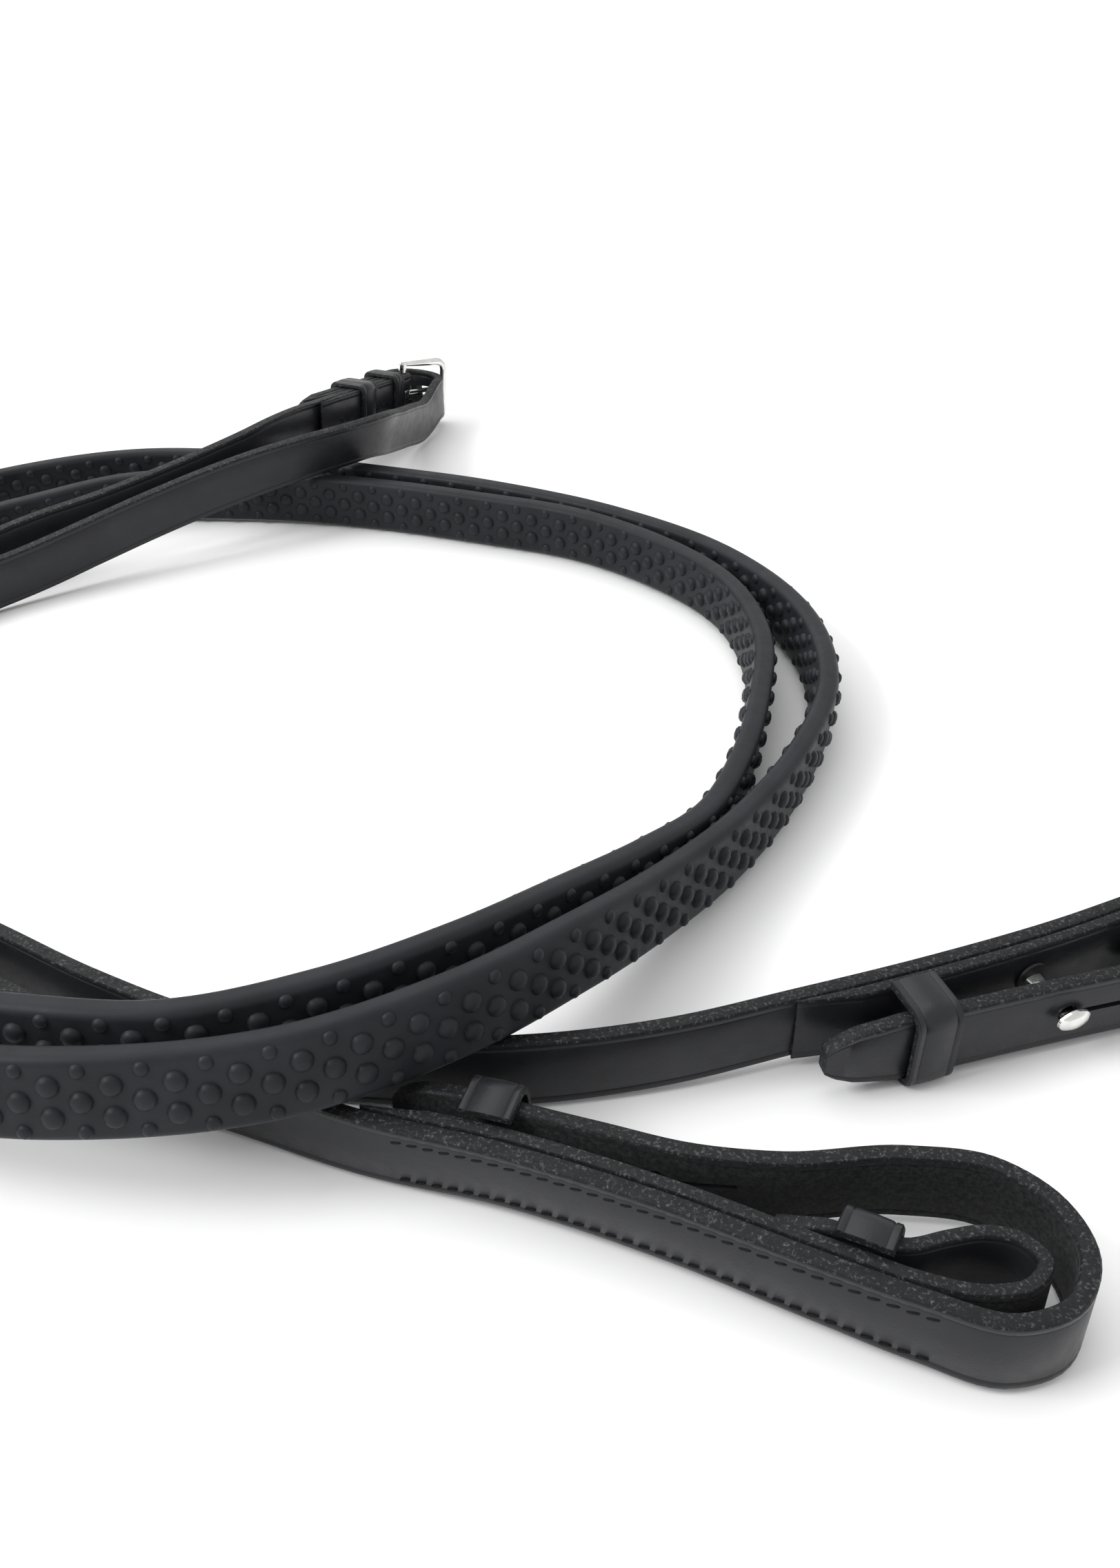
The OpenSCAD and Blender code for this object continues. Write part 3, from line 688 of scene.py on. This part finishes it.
def bit_end(rein):
    """The bit strap with its billet, the lining and its bulb, the keepers and the hook stud."""
    path, sign, keeper = REIN[rein], SIDE[rein], KEEPER[rein]
    end = path.length
    low = GRIP_SPAN[rein][1]
    taper = end - POINT_TAPER
    widths = [(0, 1), (taper, 1), (end - 0.006, 0.82), (end - 0.002, 0.58), (end, 0.36)]
    s = np.concatenate((spread(low, taper, 0.0018)[:-1], spread(taper, end, 0.0012)))
    body = strap(f"bit_strap_{rein}", path, s, nap=sign, widths=widths, grain_to=keeper,
                 node=f"rein_{rein}_bit_strap")

    place, d, side, up = (v[0] for v in path.frame(keeper + STUD_GAP))
    side = side * sign
    at = BILLET[rein][1]
    cut(body, [
        drum(place, (d, side, up), 0.002, at - 0.004, at + 0.004),
        block(place, (d, side, up), (0, at - 0.004, -0.0006), (0.013, at + 0.004, 0.0006)),
    ])

    sewn = [
        (*(p + sign * LINING_N * q), path.at(x)[3])
        for x in spread(keeper - LINING_LEAD, keeper + BULB_START, 0.008)
        for p, q in [(path.frame(x)[0][0], path.frame(x)[2][0])]
    ]
    lining = Path(sewn + BULB[rein])
    far = lining.length
    tapered = [(0, 1), (far - 0.008, 1), (far, 0.5)]
    strap(f"lining_{rein}", lining, spread(0, far, 0.0015), LINING_T, nap=-sign, widths=tapered,
          skive=[(0, 0.2), (0.012, 1)], sound=-sign * LINING_T / 2, node=f"rein_{rein}_lining")

    reach = BILLET[rein][0] + STRAP_T / 2 + KEEPER_PLAY
    bit_keeper(f"outer_keeper_{rein}", rein, keeper, reach, f"rein_{rein}_outer_keeper")
    bit_keeper(f"inner_keeper_{rein}", rein, keeper + KEEPER_GAP, LINING_N + 1.5 * LINING_T + 0.003,
               f"rein_{rein}_inner_keeper")

    foot = LINING_N + LINING_T / 2
    head = at + STRAP_T / 2 + KEEPER_PLAY
    button = [(0.0013, foot + 0.0008), (0.0011, foot + 0.003), (0.0011, head - 0.0004), (0.0019, head),
              (0.0022, head + 0.0005), (0.0021, head + 0.001), (0.0015, head + 0.0016),
              (0.0007, head + 0.0019), (0.00015, head + 0.002)]
    verts, faces = lathe(button, place, d, side, up, (1.7, 1.05))
    piece(f"hook_stud_{rein}", verts, faces, [NICKEL], None, 30,
          node=f"rein_{rein}_hook_stud")
    plate = [(0.0034, foot + 0.00005), (0.0036, foot + 0.0003), (0.0034, foot + 0.0007),
             (0.0015, foot + 0.0009)]
    verts, faces = lathe(plate, place, d, side, up, (1, 1))
    piece(f"stud_plate_{rein}", verts, faces, [BLACKENED], None, 30,
          node=f"rein_{rein}_stud_plate")

    rows = (STITCH_LOW - STRAP_W / 2, STRAP_W / 2 - STITCH_HIGH)
    verts, faces = gather(stitch_rows(path, keeper - 0.014, keeper + BULB_START + 0.006, rows, -sign))
    piece(f"bit_stitches_{rein}", verts, faces, [THREAD], None, 60,
          node=f"rein_{rein}_bit_stitching")


def grip_stitches(rein):
    """Three short stitches across each face at each end of the rubber."""
    parts = []
    for s in (GRIP_SPAN[rein][0] + 0.004, GRIP_SPAN[rein][1] - 0.004):
        place, d, side, up = (v[0] for v in REIN[rein].frame(s))
        for face in (-1, 1):
            for w in (-0.0033, 0, 0.0033):
                at = place + face * (GRIP_T / 2 + 0.00005) * side + w * up
                parts.append(stitch(at, up, d, face * side, 0.0026, 6))
    verts, faces = gather(parts)
    piece(f"grip_stitches_{rein}", verts, faces, [THREAD], None, 60,
          node=f"rein_{rein}_grip_stitching")


# --- Buckle ---
def swing_axes(turn):
    """Axes of the buckle or prong after a turn about the hinge bar."""
    c, s = math.cos(turn), math.sin(turn)
    return c * U + s * N, -s * U + c * N, W


def wire(points, r, sides=14):
    """A closed loop of round wire through points in one plane."""
    p = np.array(points)
    d = unit(np.roll(p, -1, axis=0) - np.roll(p, 1, axis=0))
    normal = unit(np.cross(p[1] - p[0], p[len(p) // 2] - p[0]))
    b = unit(np.cross(d, normal))
    verts = [
        p[i] + r * (math.cos(t) * normal + math.sin(t) * b[i])
        for i in range(len(p)) for t in np.linspace(0, 2 * math.pi, sides, endpoint=False)
    ]
    return verts, tube_faces(len(p), sides, True)


def buckle():
    """A bent-wire frame with its hinge bar."""
    x, _, z = swing_axes(-FRAME_SWING)
    reach = BUCKLE_H / 2 - WIRE_R
    r = 0.0034
    arc = [(-r * math.sin(a), r * (1 - math.cos(a))) for a in np.radians(np.linspace(0, 90, 8))]
    top = [(0, reach), (r - BUCKLE_RUN, reach)] + [(r - BUCKLE_RUN + u, reach - w) for u, w in arc[1:]]
    outline = top + [(u, -w) for u, w in reversed(top)]
    points = [BUCKLE_AT + u * x + w * z for u, w in outline]
    loop = wire(points, WIRE_R)
    side = np.cross(z, x)
    sides = 16
    bar = [
        BUCKLE_AT + w * z + BAR_R * (math.cos(t) * x + math.sin(t) * side)
        for w in np.linspace(-reach, reach, 5) for t in np.linspace(0, 2 * math.pi, sides, endpoint=False)
    ]
    ends = [tuple(range(sides)), tuple(range(4 * sides, 5 * sides))]
    verts, faces = gather([loop, (bar, tube_faces(5, sides) + ends)])
    piece("buckle_wire", verts, faces, [NICKEL], None, 35, body="buckle", node="buckle_frame")


def prong():
    """A round prong with an eye round the hinge bar."""
    x, y, z = swing_axes(PRONG_TURN - FRAME_SWING)
    rings = 12
    run = np.linspace(0.001, BUCKLE_RUN + 0.0018, rings)
    radii = [PRONG_R * (1 if u < BUCKLE_RUN - 0.003 else 0.82) for u in run[:-1]] + [PRONG_R * 0.45]
    sides = 12
    verts = [
        BUCKLE_AT - u * x + q * (math.cos(t) * y + math.sin(t) * z)
        for u, q in zip(run, radii) for t in np.linspace(0, 2 * math.pi, sides, endpoint=False)
    ]
    ends = [tuple(range(sides)), tuple(range((rings - 1) * sides, rings * sides))]
    faces = tube_faces(rings, sides) + ends
    count = 24
    eye = []
    for t in 2 * math.pi * np.arange(count) / count:
        out = math.cos(t) * x + math.sin(t) * y
        eye += [BUCKLE_AT + r * out + w * z for r, w in (
            (BAR_R + 0.00006, -0.0015), (BAR_R + 0.0011, -0.0015), (BAR_R + 0.0013, -0.0012),
            (BAR_R + 0.0013, 0.0012), (BAR_R + 0.0011, 0.0015), (BAR_R + 0.00006, 0.0015))]
    verts, faces = gather([(verts, faces), (eye, tube_faces(count, 6, True))])
    piece("prong", verts, faces, [NICKEL], None, 35, body="prong", node="buckle_prong")


def chape():
    """The leather folded round the hinge bar, with tapered ends and a slot for the prong."""
    n = STRAP_T / 2 + WRAP_T / 2 + 0.00002
    legs = [buckle_point(u, -n) for u in (CHAPE_RUN, 0.045, 0.02, 0.004)]
    bend = [
        buckle_point(-n * math.sin(a), -n * math.cos(a)) for a in np.radians(np.linspace(0, 180, 9))
    ]
    back = [buckle_point(u, n) for u in (0.004, 0.02, 0.045, CHAPE_RUN)]
    path = Path(legs + bend + back, 0.001)
    s = spread(0, path.length, 0.0015)
    ends = [(0, 0.3), (0.012, 1), (path.length - 0.012, 1), (path.length, 0.3)]
    half = WRAP_T / 2 - 0.00002
    obj = strap("chape", path, s, 2 * half, skive=ends, sound=half, node="buckle_chape")
    cut(obj, [block(BUCKLE_AT, (U, N, W), (-0.008, -0.008, -0.002), (0.0045, 0.008, 0.002))])


def chape_stitches():
    """One zigzag seam along each face of the chape."""
    parts = []
    for face in (-1, 1):
        for k, u in enumerate(np.arange(0.016, CHAPE_RUN - 0.012, 0.0021)):
            at = BUCKLE_AT + u * U + face * (STRAP_T / 2 + WRAP_T + 0.00002) * N - 0.0008 * W
            slant = 38 if k % 2 else -38
            parts.append(stitch(at, U, W, face * N, 0.0024, slant))
    verts, faces = gather(parts)
    piece("chape_stitches", verts, faces, [THREAD], None, 60, node="chape_stitching")


# --- Hand straps ---
def hand_straps():
    """The plain straps; rein B's has its point, its holes and the prong's slot."""
    strap("hand_strap_a", REIN["a"], spread(0, GRIP_SPAN["a"][0], 0.0025), node="rein_a_hand_strap")
    tip = [(0, 0.35), (0.002, 0.6), (0.006, 0.85), (0.012, 1)]
    s = np.concatenate((spread(0, 0.012, 0.0012)[:-1], spread(0.012, GRIP_SPAN["b"][0], 0.0022)))
    body = strap("hand_strap_b", REIN["b"], s, widths=tip, node="rein_b_hand_strap")
    x, y, z = swing_axes(PRONG_TURN - FRAME_SWING)
    slot = block(BUCKLE_AT, (x, y, z), (-0.0173, -0.0044, -0.0026), (-0.0103, 0.0014, 0.0012))
    holes = [
        drum(BUCKLE_AT + u * U, (U, N, W), 0.0016, FAR_N - 0.004, FAR_N + 0.004) for u in HOLES_U
    ]
    cut(body, [slot] + holes)


def cores():
    """The leather inside each sleeve."""
    for rein in "ab":
        low, high = GRIP_SPAN[rein]
        strap(f"core_{rein}", REIN[rein], spread(low, high, 0.006), STRAP_T - 0.0004, STRAP_W - 0.001,
              node=f"rein_{rein}_core", slot="core_leather")


# --- Camera ---
def camera():
    """In front of the coil and above it, looking down across it."""
    data = bpy.data.cameras.new("camera")
    data.lens = 34.83
    data.sensor_width = 36
    data.clip_start = 0.01
    obj = bpy.data.objects.new("camera", data)
    obj.location = (0.036, -0.3561, 0.2021)
    obj.rotation_euler = (math.radians(57), 0, 0)
    bpy.context.scene.collection.objects.link(obj)
    bpy.context.scene.camera = obj


# --- Studio ---
def floor():
    """Plain pale paper."""
    mesh = bpy.data.meshes.new("floor")
    mesh.from_pydata([(-9, -9, 0), (9, -9, 0), (9, 9, 0), (-9, 9, 0)], [], [(0, 1, 2, 3)])
    g = Graph("paper", roughness=0.85, specular_ior_level=0.2)
    colour = g.ramp(g.noise(0.15, 2), ((0.3, (0.88, 0.88, 0.88)), (0.7, (0.9, 0.9, 0.9))))
    mesh.materials.append(g.finish(colour))
    obj = bpy.data.objects.new("floor", mesh)
    bpy.context.scene.collection.objects.link(obj)


def area(name, place, aim, size, power):
    """A rectangular lamp at place, turned towards aim."""
    data = bpy.data.lights.new(name, "AREA")
    data.shape = "RECTANGLE"
    data.size, data.size_y = size
    data.energy = power
    obj = bpy.data.objects.new(name, data)
    obj.location = place
    toward = Vector(aim) - Vector(place)
    obj.rotation_euler = toward.to_track_quat("-Z", "Y").to_euler()
    bpy.context.scene.collection.objects.link(obj)


def studio():
    """A broad overhead light, a window to the near left and a white surround."""
    data = bpy.data.lights.new("sky", "SUN")
    data.energy = 1.3
    data.angle = math.radians(70)
    sky = bpy.data.objects.new("sky", data)
    sky.rotation_euler = Vector((0.5, -0.45, -1)).to_track_quat("-Z", "Y").to_euler()
    bpy.context.scene.collection.objects.link(sky)
    area("window", (-0.75, -0.35, 0.75), (0, -0.05, 0.01), (0.5, 0.35), 7)
    world = bpy.data.worlds.new("studio")
    world.use_nodes = True
    world.node_tree.nodes["Background"].inputs["Color"].default_value = (1, 1, 1, 1)
    world.node_tree.nodes["Background"].inputs["Strength"].default_value = 0.86
    bpy.context.scene.world = world
    bpy.context.scene.view_settings.view_transform = "Standard"


camera()
hand_straps()
for rein in "ab":
    grip(rein)
    bit_end(rein)
    grip_stitches(rein)
cores()
chape()
buckle_band("fixed_keeper_band", FIXED_AT, 0.0055, "straps", "fixed_keeper")
buckle_band("runner_band", RUNNER_AT, KEEPER_RUN, "runner", "runner")
chape_stitches()
buckle()
prong()
floor()
studio()
